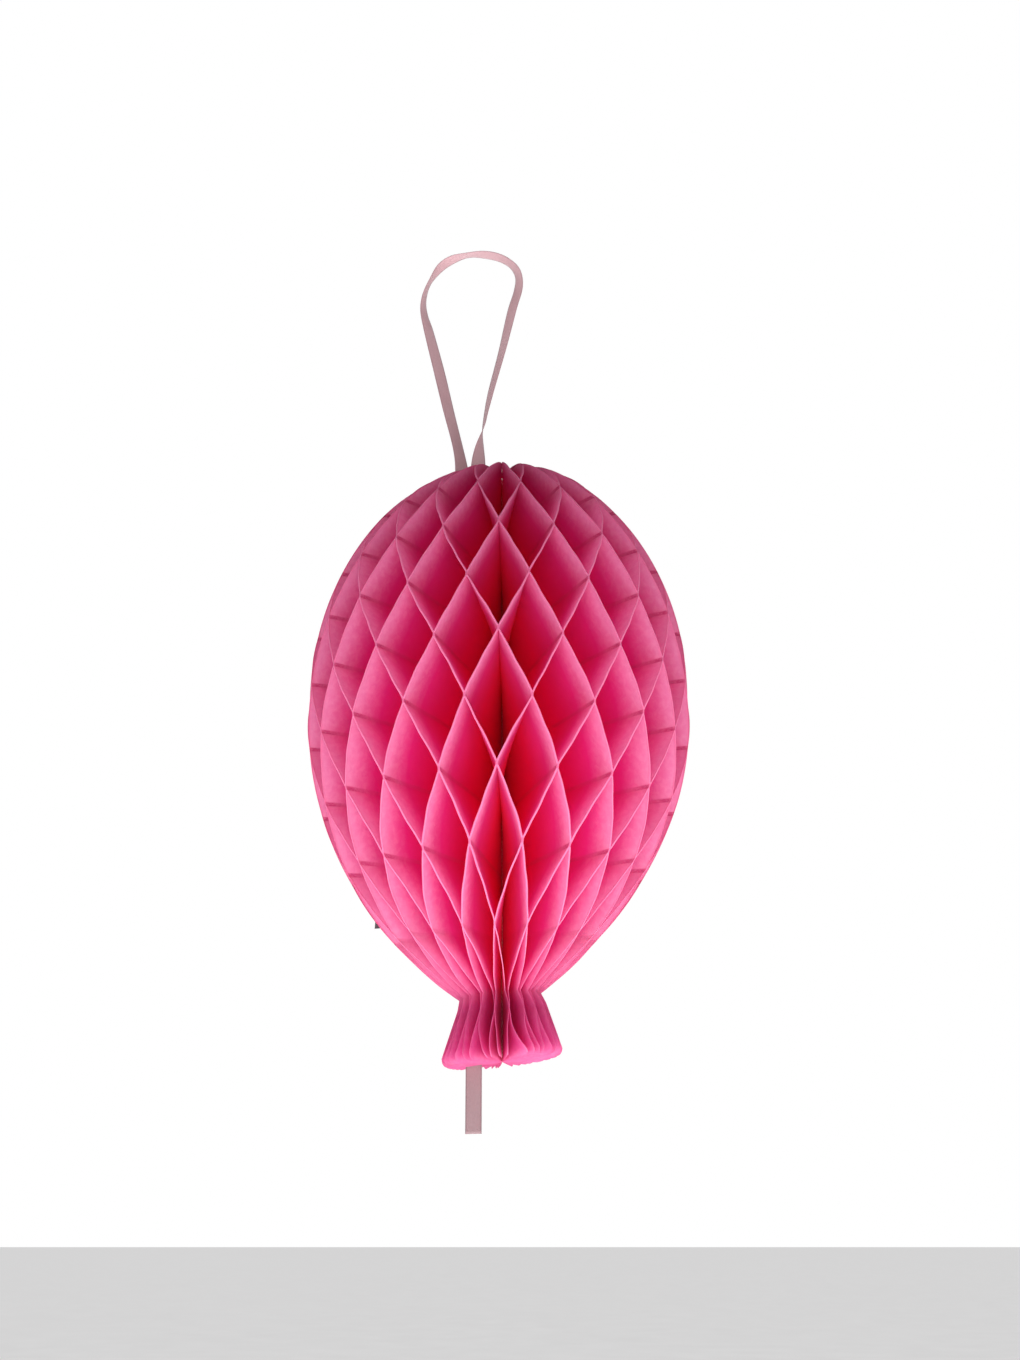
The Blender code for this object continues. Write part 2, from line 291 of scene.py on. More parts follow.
class Nodes:
    """A short way to write a node tree."""

    def __init__(self, name):
        self.made = bpy.data.materials.new(name)
        self.made.use_nodes = True
        self.tree = self.made.node_tree
        self.tree.nodes.clear()
        self.out = self.add("ShaderNodeOutputMaterial")

    def add(self, kind, **settings):
        node = self.tree.nodes.new(kind)
        for key, value in settings.items():
            setattr(node, key, value)
        return node

    def link(self, start, end):
        self.tree.links.new(start, end)

    def put(self, node, socket, value):
        """Links an output, or sets a constant, on one of the node's inputs."""
        target = node.inputs[socket]
        if isinstance(value, bpy.types.NodeSocket):
            self.link(value, target)
        elif isinstance(value, tuple) and len(value) == 3 and target.type == "RGBA":
            target.default_value = (*value, 1.0)
        else:
            target.default_value = value

    def uv(self, name, scale):
        source = self.add("ShaderNodeUVMap", uv_map=name)
        mapping = self.add("ShaderNodeMapping")
        self.link(source.outputs["UV"], mapping.inputs["Vector"])
        mapping.inputs["Scale"].default_value = scale
        return mapping.outputs["Vector"]

    def noise(self, vector, scale, detail=3.0, rough=0.5, distort=0.0):
        node = self.add("ShaderNodeTexNoise")
        self.link(vector, node.inputs["Vector"])
        node.inputs["Scale"].default_value = scale
        node.inputs["Detail"].default_value = detail
        node.inputs["Roughness"].default_value = rough
        node.inputs["Distortion"].default_value = distort
        return node.outputs["Fac"]

    def ramp(self, value, low, high, start=0.0, end=1.0):
        node = self.add("ShaderNodeMapRange")
        self.link(value, node.inputs["Value"])
        node.inputs["From Min"].default_value = low
        node.inputs["From Max"].default_value = high
        node.inputs["To Min"].default_value = start
        node.inputs["To Max"].default_value = end
        return node.outputs["Result"]

    def maths(self, kind, first, second):
        node = self.add("ShaderNodeMath", operation=kind)
        self.put(node, 0, first)
        self.put(node, 1, second)
        return node.outputs["Value"]

    def mix(self, share, first, second, blend="MIX"):
        node = self.add("ShaderNodeMix", data_type="RGBA", blend_type=blend)
        self.put(node, 0, share)
        self.put(node, 6, first)
        self.put(node, 7, second)
        return node.outputs[2]

    def bump(self, height, strength, distance):
        node = self.add("ShaderNodeBump")
        self.link(height, node.inputs["Height"])
        node.inputs["Strength"].default_value = strength
        node.inputs["Distance"].default_value = distance
        return node.outputs["Normal"]

    def attribute(self, name):
        return self.add("ShaderNodeAttribute", attribute_name=name).outputs["Fac"]


# ---------------------------------------------------------------- materials


def tissue_material():
    """Thin dyed tissue: it lets light through, with fibres, glue lines and a cut rim.

    Painted shade deepens its colour towards the spine and in the knot; the glue lines are
    darker as glued double layers and with painted crease shade. Painted light pales it near
    the open rim, with a painted highlight along the cut edge.
    """
    n = Nodes("tissue_paper")
    cloud = n.noise(n.uv("sheet", (1.0, 1.0, 1.0)), 110.0, 4.0, 0.55)
    fibre = n.noise(n.uv("sheet", (2600.0, 420.0, 1.0)), 1.0, 3.0, 0.6, 0.6)
    speck = n.noise(n.uv("sheet", (900.0, 2200.0, 1.0)), 1.0, 2.0, 0.6, 0.3)
    rim_mm = n.attribute("rim_mm")
    rim_highlight = n.attribute("rim_highlight")
    mottle = n.noise(n.uv("sheet", (1.0, 1.0, 1.0)), 420.0, 3.0, 0.6, 0.4)
    body = n.mix(n.ramp(cloud, 0.3, 0.7), TISSUE_DEEP, TISSUE_PINK)
    body = n.mix(n.ramp(mottle, 0.42, 0.70, 0.0, 0.65), body, TISSUE_PALE)
    body = n.mix(n.ramp(mottle, 0.5, 0.25, 0.0, 0.45), body, TISSUE_DEEP)
    body = n.mix(n.ramp(fibre, 0.56, 0.82, 0.0, 0.4), body, TISSUE_PALE)
    depth_shade = n.attribute("depth_shade")
    # painted shade: deeper crimson further into the cells
    body = n.mix(n.ramp(depth_shade, 0.015, 0.17, 0.0, 0.92), body, TISSUE_INNER_SHADE)
    # painted light: paler near the open rim
    body = n.mix(n.ramp(n.attribute("painted_light"), 0.0, 1.0, 0.0, 0.5), body, TISSUE_PAINTED_LIGHT)
    # more painted shade nearest the spine
    body = n.mix(n.ramp(depth_shade, 0.15, 0.42, 0.0, 0.95), body, TISSUE_DEEPEST_SHADE)
    # painted shade on the knot's sides
    body = n.mix(n.ramp(n.attribute("knot"), 0.0, 1.0, 0.0, 0.6), body, TISSUE_KNOT_SHADE)
    # glue strips darker, most near the rim: real glued double layer and painted crease shade
    glue = n.maths("MULTIPLY", n.attribute("glue"), n.ramp(speck, 0.35, 0.6, 0.55, 0.95))
    glue = n.maths("MULTIPLY", glue, n.ramp(rim_mm, 3.0, 9.0, 1.0, 0.3))
    body = n.mix(glue, body, TISSUE_GLUE_AND_CREASE_SHADE)
    # painted highlight along the cut edge
    body = n.mix(rim_highlight, body, TISSUE_HIGHLIGHT)
    height = n.maths("ADD", n.ramp(fibre, 0.0, 1.0, 0.0, 0.5), n.ramp(cloud, 0.0, 1.0, 0.0, 1.6))
    normal = n.bump(height, 0.35, 0.00025)
    surface = n.add("ShaderNodeBsdfPrincipled")
    n.put(surface, "Base Color", body)
    n.put(surface, "Roughness", n.ramp(fibre, 0.2, 0.8, 0.62, 0.8))
    n.put(surface, "Specular IOR Level", 0.12)
    n.put(surface, "Sheen Weight", 0.03)
    n.put(surface, "Sheen Roughness", 0.6)
    n.put(surface, "Normal", normal)
    through = n.add("ShaderNodeBsdfTranslucent")
    n.put(through, "Color", n.mix(0.6, body, TISSUE_GLOW))
    n.put(through, "Normal", normal)
    mixed = n.add("ShaderNodeMixShader")
    n.put(mixed, 0, TISSUE_SHOW_THROUGH)
    n.link(surface.outputs[0], mixed.inputs[1])
    n.link(through.outputs[0], mixed.inputs[2])
    n.link(mixed.outputs[0], n.out.inputs["Surface"])
    return n.made


def object_material(name, base, other, scale, roughness, bump, glow=0.0):
    """A matt material with fine mottling in the object's own space; glow is its own light."""
    n = Nodes(name)
    place = n.add("ShaderNodeTexCoord").outputs["Object"]
    grain = n.noise(place, scale, 5.0, 0.6)
    broad = n.noise(place, scale / 9, 3.0, 0.5)
    body = n.mix(n.ramp(grain, 0.35, 0.65), base, other)
    body = n.mix(n.ramp(broad, 0.3, 0.7, 0.0, 0.25), body, other)
    surface = n.add("ShaderNodeBsdfPrincipled")
    n.put(surface, "Base Color", body)
    n.put(surface, "Roughness", n.ramp(grain, 0.2, 0.8, roughness - 0.08, roughness + 0.08))
    n.put(surface, "Specular IOR Level", 0.3)
    n.put(surface, "Emission Color", body)
    n.put(surface, "Emission Strength", glow)
    n.put(surface, "Normal", n.bump(grain, bump, 0.0002))
    n.link(surface.outputs[0], n.out.inputs["Surface"])
    return n.made


def thread_material():
    """Two-ply cotton: a slanted twist down the thread."""
    n = Nodes("cotton_thread")
    place = n.add("ShaderNodeTexCoord").outputs["Object"]
    turned = n.add("ShaderNodeMapping")
    n.link(place, turned.inputs["Vector"])
    turned.inputs["Rotation"].default_value = (math.radians(40), math.radians(25), 0)
    twist = n.add("ShaderNodeTexWave", wave_type="BANDS", bands_direction="Z")
    n.link(turned.outputs["Vector"], twist.inputs["Vector"])
    twist.inputs["Scale"].default_value = 280.0
    twist.inputs["Distortion"].default_value = 1.5
    body = n.mix(twist.outputs["Fac"], *THREAD_COLOURS)
    surface = n.add("ShaderNodeBsdfPrincipled")
    n.put(surface, "Base Color", body)
    n.put(surface, "Roughness", 0.85)
    n.put(surface, "Sheen Weight", 0.3)
    n.put(surface, "Normal", n.bump(twist.outputs["Fac"], 0.8, 0.0002))
    n.link(surface.outputs[0], n.out.inputs["Surface"])
    return n.made


def satin_material(name, shade_factor):
    """Mauve satin ribbon: fine warp floats, a woven selvedge and a soft sheen; the last argument
    multiplies the colour down as painted shade.
    """
    n = Nodes(name)
    warp = n.add("ShaderNodeTexWave", wave_type="BANDS", bands_direction="X")
    n.link(n.uv("band", (1.0, 1.0, 1.0)), warp.inputs["Vector"])
    warp.inputs["Scale"].default_value = 2600.0
    warp.inputs["Distortion"].default_value = 2.0
    weft = n.noise(n.uv("band", (3600.0, 900.0, 1.0)), 1.0, 2.0, 0.6)
    cloud = n.noise(n.uv("band", (90.0, 45.0, 1.0)), 1.0, 3.0, 0.5)
    body = n.mix(n.ramp(weft, 0.3, 0.7), RIBBON_DEEP, RIBBON_MAUVE)
    body = n.mix(n.ramp(cloud, 0.35, 0.7, 0.0, 0.35), body, RIBBON_PALE)
    edge = n.ramp(n.attribute("edge_mm"), 0.35, 0.65, 0.65, 0.0)
    body = n.mix(edge, body, RIBBON_SELVEDGE)
    # painted shade: the whole colour multiplied down, for the tail's copy
    body = n.mix(1.0, body, shade_factor, blend="MULTIPLY")
    height = n.maths("ADD", warp.outputs["Fac"], n.ramp(weft, 0.0, 1.0, 0.0, 0.8))
    surface = n.add("ShaderNodeBsdfPrincipled")
    n.put(surface, "Base Color", body)
    n.put(surface, "Roughness", n.ramp(weft, 0.2, 0.8, 0.34, 0.5))
    n.put(surface, "Anisotropic", 0.6)
    n.put(surface, "Specular IOR Level", 0.5)
    n.put(surface, "Sheen Weight", 0.35)
    n.put(surface, "Sheen Roughness", 0.35)
    n.put(surface, "Normal", n.bump(height, 0.25, 0.00008))
    n.link(surface.outputs[0], n.out.inputs["Surface"])
    return n.made


# ---------------------------------------------------------------- the leaves


def balloon_outline():
    """Radii and heights of the balloon's edge, from the knot's underside to the crown."""
    points = []
    for step in range(CORNER_STEPS + 1):
        turn = math.radians(90) * step / CORNER_STEPS
        radius = BASE_RADIUS - BASE_CORNER * (1 - math.sin(turn))
        points.append((radius, BASE_CORNER * (1 - math.cos(turn))))
    neck = Vector((NECK_RADIUS, NECK_HEIGHT, 0))
    neck_out = neck + Vector((*NECK_HANDLE, 0))
    equator = Vector((EQUATOR_RADIUS, EQUATOR_HEIGHT, 0))
    below = equator - Vector((0, LOWER_HANDLE, 0))
    above = equator + Vector((0, UPPER_HANDLE, 0))
    crown = Vector((0, BALLOON_HEIGHT, 0))
    crown_out = crown + Vector((CROWN_HANDLE, 0, 0))
    lower = interpolate_bezier(neck, neck_out, below, equator, OUTLINE_STEPS)
    upper = interpolate_bezier(equator, above, crown_out, crown, OUTLINE_STEPS)
    points += [(p.x, p.y) for p in lower]
    points += [(p.x, p.y) for p in upper[1:]]
    return np.array(points)


OUTLINE = balloon_outline()


def outline_radius(height):
    return np.interp(height, OUTLINE[:, 1], OUTLINE[:, 0])


def open_share(height):
    """How wide the cells stand open at a height, from LEAST_OPEN to 1."""
    return np.clip(outline_radius(height) / OPEN_RADIUS, LEAST_OPEN, 1)


def next_row(height, direction):
    """The next glue row: the paper's pitch, shortened where its cells stand open."""
    reach = height + direction * GLUE_PITCH
    for _ in range(4):
        middle = float(outline_radius((height + reach) / 2))
        swing = 2 * middle * math.sin(LEAF_STEP / 2)
        reach = height + direction * math.sqrt(GLUE_PITCH**2 - swing**2)
    return reach


def glue_rows():
    """Heights of the rows, upwards, and 0 for those that are glued to the covers."""
    rows = [(SEAM_ROW_HEIGHT, 0)]
    for _ in range(ROWS_ABOVE):
        rows.append((next_row(rows[-1][0], 1), 1 - rows[-1][1]))
    for _ in range(ROWS_BELOW):
        rows.insert(0, (next_row(rows[0][0], -1), 1 - rows[0][1]))
    return rows


ROWS = glue_rows()


def node_shift(row, plane):
    """How far one glued node sits off its true angle and height; both leaves share it."""
    if plane in (0, LEAF_COUNT):
        return 0.0, 0.0
    dice = random.Random(1000 * row + plane)
    return dice.uniform(-NODE_TURN, NODE_TURN), dice.uniform(-NODE_RISE, NODE_RISE)


def leaf_heights():
    """Paper heights of a leaf's rows of vertices, closer where it bends."""
    half = GLUE_STRIP / 2
    heights = [*KNOT_STEPS, BASE_CORNER]
    heights += [NECK_HEIGHT + step for step in NECK_STEPS]
    heights += [BALLOON_HEIGHT - step for step in CROWN_STEPS]
    for (low, _), (high, _) in zip(ROWS, ROWS[1:]):
        heights += [low - half - CREASE, low - half, low, low + half, low + half + CREASE]
        heights += list(np.linspace(low + half, high - half, RAMP_STEPS + 1)[1:-1])
    kept = sorted(h for h in heights if 0 <= h <= BALLOON_HEIGHT)
    spaced = [kept[0]]
    for height in kept[1:]:
        if height - spaced[-1] > LEAST_ROW_GAP:
            spaced.append(height)
    spaced[-1] = BALLOON_HEIGHT
    return np.array(spaced)


HEIGHTS = leaf_heights()


def leaf_fold(number, dice):
    """Angle, offset, rise, share between rows, glue and bulge at a leaf's rows of vertices."""
    half = GLUE_STRIP / 2
    heights = HEIGHTS[:, None]
    inside_share = np.clip((RADII[:, -1:] - RADII) / S_CURVE_DEPTH, 0, 1)
    curl = S_CURVE_AT_RIM + (S_CURVE_INSIDE - S_CURVE_AT_RIM) * inside_share
    angles, offsets = np.zeros(RADII.shape), np.zeros(RADII.shape)
    share, glued, bulge = (np.zeros(heights.shape) for _ in range(3))
    nodes = []
    for row, (height, parity) in enumerate(ROWS):
        plane = number - 1 if (number - 1) % 2 == parity else number
        turn, rise = node_shift(row, plane)
        side = 1 if plane == number - 1 else -1
        offset = COVER_BACK + SKIN if plane in (0, LEAF_COUNT) else SKIN
        nodes.append((height, plane * LEAF_STEP + turn, side * offset, rise))
    for (low, low_angle, low_off, _), (high, high_angle, high_off, _) in zip(nodes, nodes[1:]):
        inside = (heights >= low - half) & (heights <= high - half)
        run = np.clip((heights - low - half) / (high - low - 2 * half), 0, 1)
        curve = (1 - curl) * run + curl * run * run * (3 - 2 * run)
        angles = np.where(inside, low_angle + (high_angle - low_angle) * curve, angles)
        offsets = np.where(inside, low_off + (high_off - low_off) * curve, offsets)
        share = np.where(inside, run, share)
        amount = dice.uniform(-BULGE, BULGE)
        bulge = np.where(inside, amount * np.sin(math.pi * run), bulge)
        glued = np.where(np.abs(heights - low) <= half * 1.01, 1.0, glued)
    rises = np.interp(heights, [n[0] for n in nodes], [n[3] for n in nodes])
    from_end = np.clip(heights / END_FADE, 0, 1)
    from_crown = np.clip((BALLOON_HEIGHT - heights) / END_FADE, 0, 1)
    return angles, offsets, rises * (from_end * from_crown), share, glued, bulge


def leaf_radii(height):
    """Distances from the spine of one row's vertices, closer together at the cut edge."""
    rim = max(float(outline_radius(height)), LEAF_ROOT + LEAST_WIDTH)
    left = range(len(RIM_COLUMNS), 0, -1)
    edge = [max(rim - b, LEAF_ROOT + LEAST_COLUMN_GAP * i) for i, b in zip(left, RIM_COLUMNS)]
    inner = list(np.linspace(LEAF_ROOT, edge[0], LEAF_COLUMNS + 1)[:-1])
    return np.array(inner + edge)


RADII = np.array([leaf_radii(height) for height in HEIGHTS])


def leaf_points(number):
    """The leaf's vertices in the row frame, and their paper height, rim and glue."""
    dice = random.Random(77 + number)
    angles, offsets, rises, share, glued, bulge = leaf_fold(number, dice)
    radii = RADII
    height = np.repeat(HEIGHTS[:, None], radii.shape[1], axis=1)
    rim = radii[:, -1:] - radii
    free = np.sin(math.pi * share)
    reach = np.clip(radii / EQUATOR_RADIUS, 0, 1)
    phase = dice.uniform(0, 6.28)
    wave = RIM_WAVE * np.sin(height * RIM_WAVE_PACE + phase) * free
    wave *= np.exp(-rim / RIM_WAVE_WIDTH)
    pucker = PUCKER * np.sin(radii * PUCKER_PACE + phase * 3) * (1 - free) * (1 - glued)
    aside = offsets + bulge * np.sin(math.pi * np.clip(reach * BULGE_REACH, 0, 1))
    aside += (wave + pucker) * np.clip(reach * 2, 0, 1)
    corner = fringe_share(height) * np.clip(radii / BASE_RADIUS, 0, 1) ** 2
    aside += corner * fringe_curl(number)
    radii, aside, height, rim, angles = add_cap(radii, aside, height, rim, angles)
    twist = KNOT_TWIST * math.sin(math.pi * (number - 0.5) / LEAF_COUNT) ** 2
    azimuth = SEAM_ANGLE + angles + twist * fringe_share(height)
    x = radii * np.cos(azimuth) - aside * np.sin(azimuth)
    y = radii * np.sin(azimuth) + aside * np.cos(azimuth)
    x, y, drop = hang(x, y, height)
    z = BASE_Z + height + rises * np.clip(radii / EQUATOR_RADIUS * 1.5, 0, 1) + drop
    return np.stack([SPINE.x + x, SPINE.y + y, z], axis=-1), height, rim, glued


def hang(x, y, height):
    """How the open body leans along the seam's plane and droops: new x and y, and a drop."""
    outward = np.hypot(x, y) / np.maximum(outline_radius(height), LEAF_ROOT + LEAST_WIDTH)
    drop = np.interp(height, DROOP_HEIGHTS, DROOP) * x / np.hypot(x, y) * outward
    lean = np.interp(height, LEAN_HEIGHTS, LEAN) * outward
    return x + lean, y + lean * math.tan(SEAM_ANGLE), drop


def fringe_share(height):
    """How strongly the knot's free edge curls and twists, from 0 above it to 1."""
    return np.clip(1 - height / FRINGE_HEIGHT, 0, 1) ** 1.5


def fringe_curl(number):
    """Sideways curl of a leaf's lower corner, much like that of its neighbours."""
    turn = LEAF_STEP * number
    free = min(1, 4 * math.sin(math.pi * (number - 0.5) / LEAF_COUNT))
    waves = sum(share * math.sin(turn * pace + start) for pace, start, share in FRINGE_WAVES)
    return free * FRINGE_CURL * waves


def add_cap(radii, aside, *others):
    """Adds CAP_COLUMNS columns: the soft cut edge stands a little proud on both sides."""
    edge = radii[:, -1:] - CAP_ROUND
    height = others[0][:, -1:]
    width = CAP_WIDTH * open_share(height)
    radii = np.concatenate([radii, edge, edge], axis=1)
    aside = np.concatenate([aside, aside[:, -1:] - width, aside[:, -1:] + width], axis=1)
    grown = [np.concatenate([values, values[:, -1:], values[:, -1:]], axis=1) for values in others]
    return radii, aside, *grown


def leaf_faces(rows, columns):
    """The sheet's quads, and the narrow strips of its cut edge on both sides."""
    index = np.arange(rows * columns).reshape(rows, columns)
    sheet, left, right = index[:, :-CAP_COLUMNS], index[:, -2], index[:, -1]
    edge = sheet[:, -1]
    faces = [grid_faces(sheet), grid_faces(np.stack([left, edge], axis=1))]
    faces.append(grid_faces(np.stack([edge, right], axis=1)))
    return np.concatenate(faces)


def grid_faces(index):
    corners = (index[:-1, :-1], index[:-1, 1:], index[1:, 1:], index[1:, :-1])
    return np.stack([corner.ravel() for corner in corners], axis=-1)


def mesh_object(name, points, faces, uv_name, uv, finish, attributes=()):
    """A smooth mesh object with one UV map and named values on its points."""
    mesh = bpy.data.meshes.new(name)
    mesh.from_pydata(points.reshape(-1, 3).tolist(), [], faces.tolist())
    layer = mesh.uv_layers.new(name=uv_name)
    corner = np.zeros(len(mesh.loops), np.int32)
    mesh.loops.foreach_get("vertex_index", corner)
    layer.data.foreach_set("uv", uv.reshape(-1, 2)[corner].astype(np.float32).ravel())
    for key, values in attributes:
        made = mesh.attributes.new(key, "FLOAT", "POINT")
        made.data.foreach_set("value", values.astype(np.float32).ravel())
    mesh.materials.append(finish)
    mesh.shade_smooth()
    mesh.validate()
    made = bpy.data.objects.new(name, mesh)
    bpy.context.collection.objects.link(made)
    return made


def sharpen_rim(leaf, columns):
    """Keeps the cut edge's shading apart from the sheet's."""
    mesh = leaf.data
    ends = np.zeros(2 * len(mesh.edges), np.int32)
    mesh.edges.foreach_get("vertices", ends)
    edge_column = columns - CAP_COLUMNS - 1
    on_rim = (ends.reshape(-1, 2) % columns == edge_column).all(axis=1)
    made = mesh.attributes.new("sharp_edge", "BOOLEAN", "EDGE")
    made.data.foreach_set("value", on_rim)


def leaf_values(points, height, rim, glued):
    """What the tissue material needs to know at each vertex."""
    radius = np.hypot(points[..., 0] - SPINE.x, points[..., 1] - SPINE.y)
    # glue strips: real glued double layer and painted crease shade, fainter low down
    glue = np.repeat(glued, height.shape[1], axis=1)
    glue *= np.clip((height - GLUE_FADE_HEIGHT) / GLUE_FADE, FAINT_GLUE, 1)
    rim = np.minimum(rim, height)
    # painted highlight on the cut edge, stronger where the cells stand open
    rim_highlight = RIM_HIGHLIGHT_SHARE * np.clip(1 - rim / RIM_HIGHLIGHT_WIDTH, 0, 1) * open_share(height)
    # painted light near the open rim, less so low down
    painted_light = np.clip(1 - rim / PAINTED_LIGHT_WIDTH, 0, 1) * np.clip(height / PAINTED_LIGHT_HEIGHT, LEAST_PAINTED_LIGHT, 1)
    # how deep a point lies in its cell, for the painted shade there
    depth_shade = np.maximum(rim / EQUATOR_RADIUS, NARROW_DEPTH_SHARE * rim / (rim + radius))
    # painted shade on the knot, fainter at its lower edge
    knot = np.clip((NECK_HEIGHT + KNOT_SHADE_BLEND - height) / (2 * KNOT_SHADE_BLEND), 0, 1)
    knot *= np.clip(height / KNOT_SHADE_BLEND, KNOT_SHADE_AT_EDGE, 1)
    return radius, (
        ("rim_mm", rim * 1000),
        ("rim_highlight", rim_highlight),
        ("glue", glue),
        ("depth_shade", depth_shade),
        ("knot", knot),
        ("painted_light", painted_light),
    )


def tissue_leaf(number, finish):
    points, height, rim, glued = leaf_points(number)
    rows, columns = height.shape
    radius, values = leaf_values(points, height, rim, glued)
    uv = np.stack([radius + SHEET_SPACING * number, height], axis=-1)
    name = f"tissue_leaf_{number:02d}"
    leaf = mesh_object(name, points, leaf_faces(rows, columns), "sheet", uv, finish, values)
    sharpen_rim(leaf, columns)
    node = f"leaf_{number:02d}"
    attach(leaf, node)
    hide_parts(node)
    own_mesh(leaf)


# ---------------------------------------------------------------- the ribbon


def catmull_rom(before, start, end, after, t):
    p0, p1, p2, p3 = (np.array(p, dtype=float) for p in (before, start, end, after))
    steady = 2 * p1 + (p2 - p0) * t
    square = (2 * p0 - 5 * p1 + 4 * p2 - p3) * t**2
    cube = (3 * p1 - p0 - 3 * p2 + p3) * t**3
    return (steady + square + cube) / 2


def smooth_route(points, stations):
    """Evenly spread stations on the smooth curve through a route's points."""
    samples = []
    padded = [points[0], *points, points[-1]]
    for before, start, end, after in zip(padded, padded[1:], padded[2:], padded[3:]):
        for step in range(ROUTE_STEPS):
            samples.append(catmull_rom(before, start, end, after, step / ROUTE_STEPS))
    samples.append(np.array(points[-1], dtype=float))
    samples = np.array(samples)
    steps = np.hypot(*np.diff(samples[:, :2], axis=0).T)
    lengths = np.concatenate([[0], np.cumsum(steps)])
    wanted = np.linspace(0, lengths[-1], stations)
    return np.stack([np.interp(wanted, lengths, column) for column in samples.T], axis=-1)


def seam_point(radius, aside, z):
    """A point given by its distance along the seam's plane and its distance off it."""
    along = Vector((math.cos(SEAM_ANGLE), math.sin(SEAM_ANGLE), 0))
    across = Vector((-math.sin(SEAM_ANGLE), math.cos(SEAM_ANGLE), 0))
    return SPINE + along * radius + across * aside + Vector((0, 0, z))


def ribbon(name, route, finish, node, glued_in=False):
    """A flat satin ribbon along (radius, z, turn) stations in the seam's plane."""
    across = np.linspace(-0.5, 0.5, RIBBON_COLUMNS)
    around = np.concatenate([across, across[::-1]])
    sides = np.concatenate([np.ones(RIBBON_COLUMNS), -np.ones(RIBBON_COLUMNS)])
    line, points, uv, edge = [], [], [], []
    travelled = 0.0
    last = len(route) - 1
    for here, (radius, z, turn) in enumerate(route):
        before, after = route[max(here - 1, 0)], route[min(here + 1, last)]
        run = Vector((after[0] - before[0], 0, after[1] - before[1])).normalized()
        angle = math.radians(turn)
        width = Vector((run.z * math.cos(angle), math.sin(angle), -run.x * math.cos(angle)))
        skin = run.cross(width)
        centre = Vector((radius, 0, z))
        line.append(seam_point(radius, 0, z))
        if here:
            travelled += (line[-1] - line[-2]).length
        for place, side in zip(around, sides):
            swell = SELVEDGE_SWELL if abs(place) > SELVEDGE_START else 1.0
            lift = side * RIBBON_THICKNESS / 2 * swell + RIBBON_CUP * (0.5 - 2 * place**2)
            spot = centre + width * place * RIBBON_WIDTH + skin * lift
            points.append(seam_point(spot.x, spot.y, spot.z))
            uv.append((place * RIBBON_WIDTH, travelled))
            edge.append((0.5 - abs(place)) * RIBBON_WIDTH * 1000)
    spots = np.array([tuple(p) for p in points])
    if glued_in:
        x, y, _ = hang(*(spots - np.array((*SPINE.xy, BASE_Z))).T)
        spots[:, 0] = SPINE.x + x
        spots[:, 1] = SPINE.y + y
    spots = spots.reshape(len(route), 2 * RIBBON_COLUMNS, 3)
    made = ring_mesh(name, spots, np.array(uv), finish, (("edge_mm", np.array(edge)),))
    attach(made, "hanging_side")
    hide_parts(node)
    return made, line, travelled


def ring_mesh(name, spots, uv, finish, attributes=()):
    """A closed skin through rows of ring-shaped sections, with both ends capped."""
    rows, ring = spots.shape[:2]
    index = np.arange(rows * ring).reshape(rows, ring)
    ahead = np.roll(index, -1, axis=1)
    faces = np.stack([index[:-1], ahead[:-1], ahead[1:], index[1:]], axis=-1).reshape(-1, 4)
    made = mesh_object(name, spots, faces, "band", uv, finish, attributes)
    cap_ends(made, (index[0][::-1], index[-1]))
    return made


def cap_ends(made, caps):
    """Closes the two ends of a ring mesh."""
    bm = bmesh.new()
    bm.from_mesh(made.data)
    bm.verts.ensure_lookup_table()
    for cap in caps:
        bm.faces.new([bm.verts[int(i)] for i in cap])
    bmesh.ops.recalc_face_normals(bm, faces=bm.faces)
    bm.to_mesh(made.data)
    bm.free()


def seam_plate(node, body, heights, inner, outer, faces, finish):
    """A thin plate in the seam's plane, which leans and droops with the leaves beside it."""
    share = np.linspace(0, 1, PLATE_COLUMNS)
    share = np.concatenate([share, share[::-1]])
    aside = np.repeat(faces, PLATE_COLUMNS)
    inner, outer = np.broadcast_to(inner, heights.shape), np.broadcast_to(outer, heights.shape)
    radii = inner[:, None] + (outer - inner)[:, None] * share
    height = np.repeat(heights[:, None], share.size, axis=1)
    x = radii * math.cos(SEAM_ANGLE) - aside * math.sin(SEAM_ANGLE)
    y = radii * math.sin(SEAM_ANGLE) + aside * math.cos(SEAM_ANGLE)
    x, y, drop = hang(x, y, height)
    spots = np.stack([SPINE.x + x, SPINE.y + y, BASE_Z + height + drop], axis=-1)
    made = ring_mesh(f"{node}_plate", spots, np.stack([radii, height], axis=-1), finish)
    made.data.set_sharp_from_angle(angle=math.radians(40))
    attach(made, body)
    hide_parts(node)
    return made


def covers_and_pads():
    """The two card covers and the adhesive between them."""
    card = object_material("pink_card", *CARD_COLOURS, 900.0, 0.72, 0.3)
    tape = object_material("closure_tape", *TAPE_COLOURS, 1500.0, 0.5, 0.25)
    edge = outline_radius(HEIGHTS) - COVER_MARGIN
    heights = HEIGHTS[(HEIGHTS >= COVER_MARGIN) & (edge > COVER_INNER_RADIUS + COVER_MARGIN)]
    edge = outline_radius(heights) - COVER_MARGIN
    for node, body, side in (("fixed_cover", "hanging_side", 1), ("moving_cover", "moving_side", -1)):
        faces = (side * COVER_FACE, side * COVER_BACK)
        seam_plate(node, body, heights, COVER_INNER_RADIUS, edge, faces, card)
    pads = [("adhesive_pad_1", TAB_HEIGHT, TAB_LENGTH, TAB_PROUD, PAD_WIDTH + TAB_PROUD)]
    for number, height in enumerate(PAD_HEIGHTS, start=2):
        pads.append((f"adhesive_pad_{number}", height, PAD_LENGTH, -PAD_EDGE_MARGIN, PAD_WIDTH))
    for node, height, length, proud, width in pads:
        outer = float(outline_radius(height)) + proud
        rows = np.linspace(height - length / 2, height + length / 2, PAD_ROWS)
        faces = (-PAD_HALF, PAD_HALF)
        plate = seam_plate(node, "hanging_side", rows, outer - width, outer, faces, tape)


def straight(radius, high, low, stations):
    return [(radius, z, 0.0) for z in np.linspace(high, low, stations)]


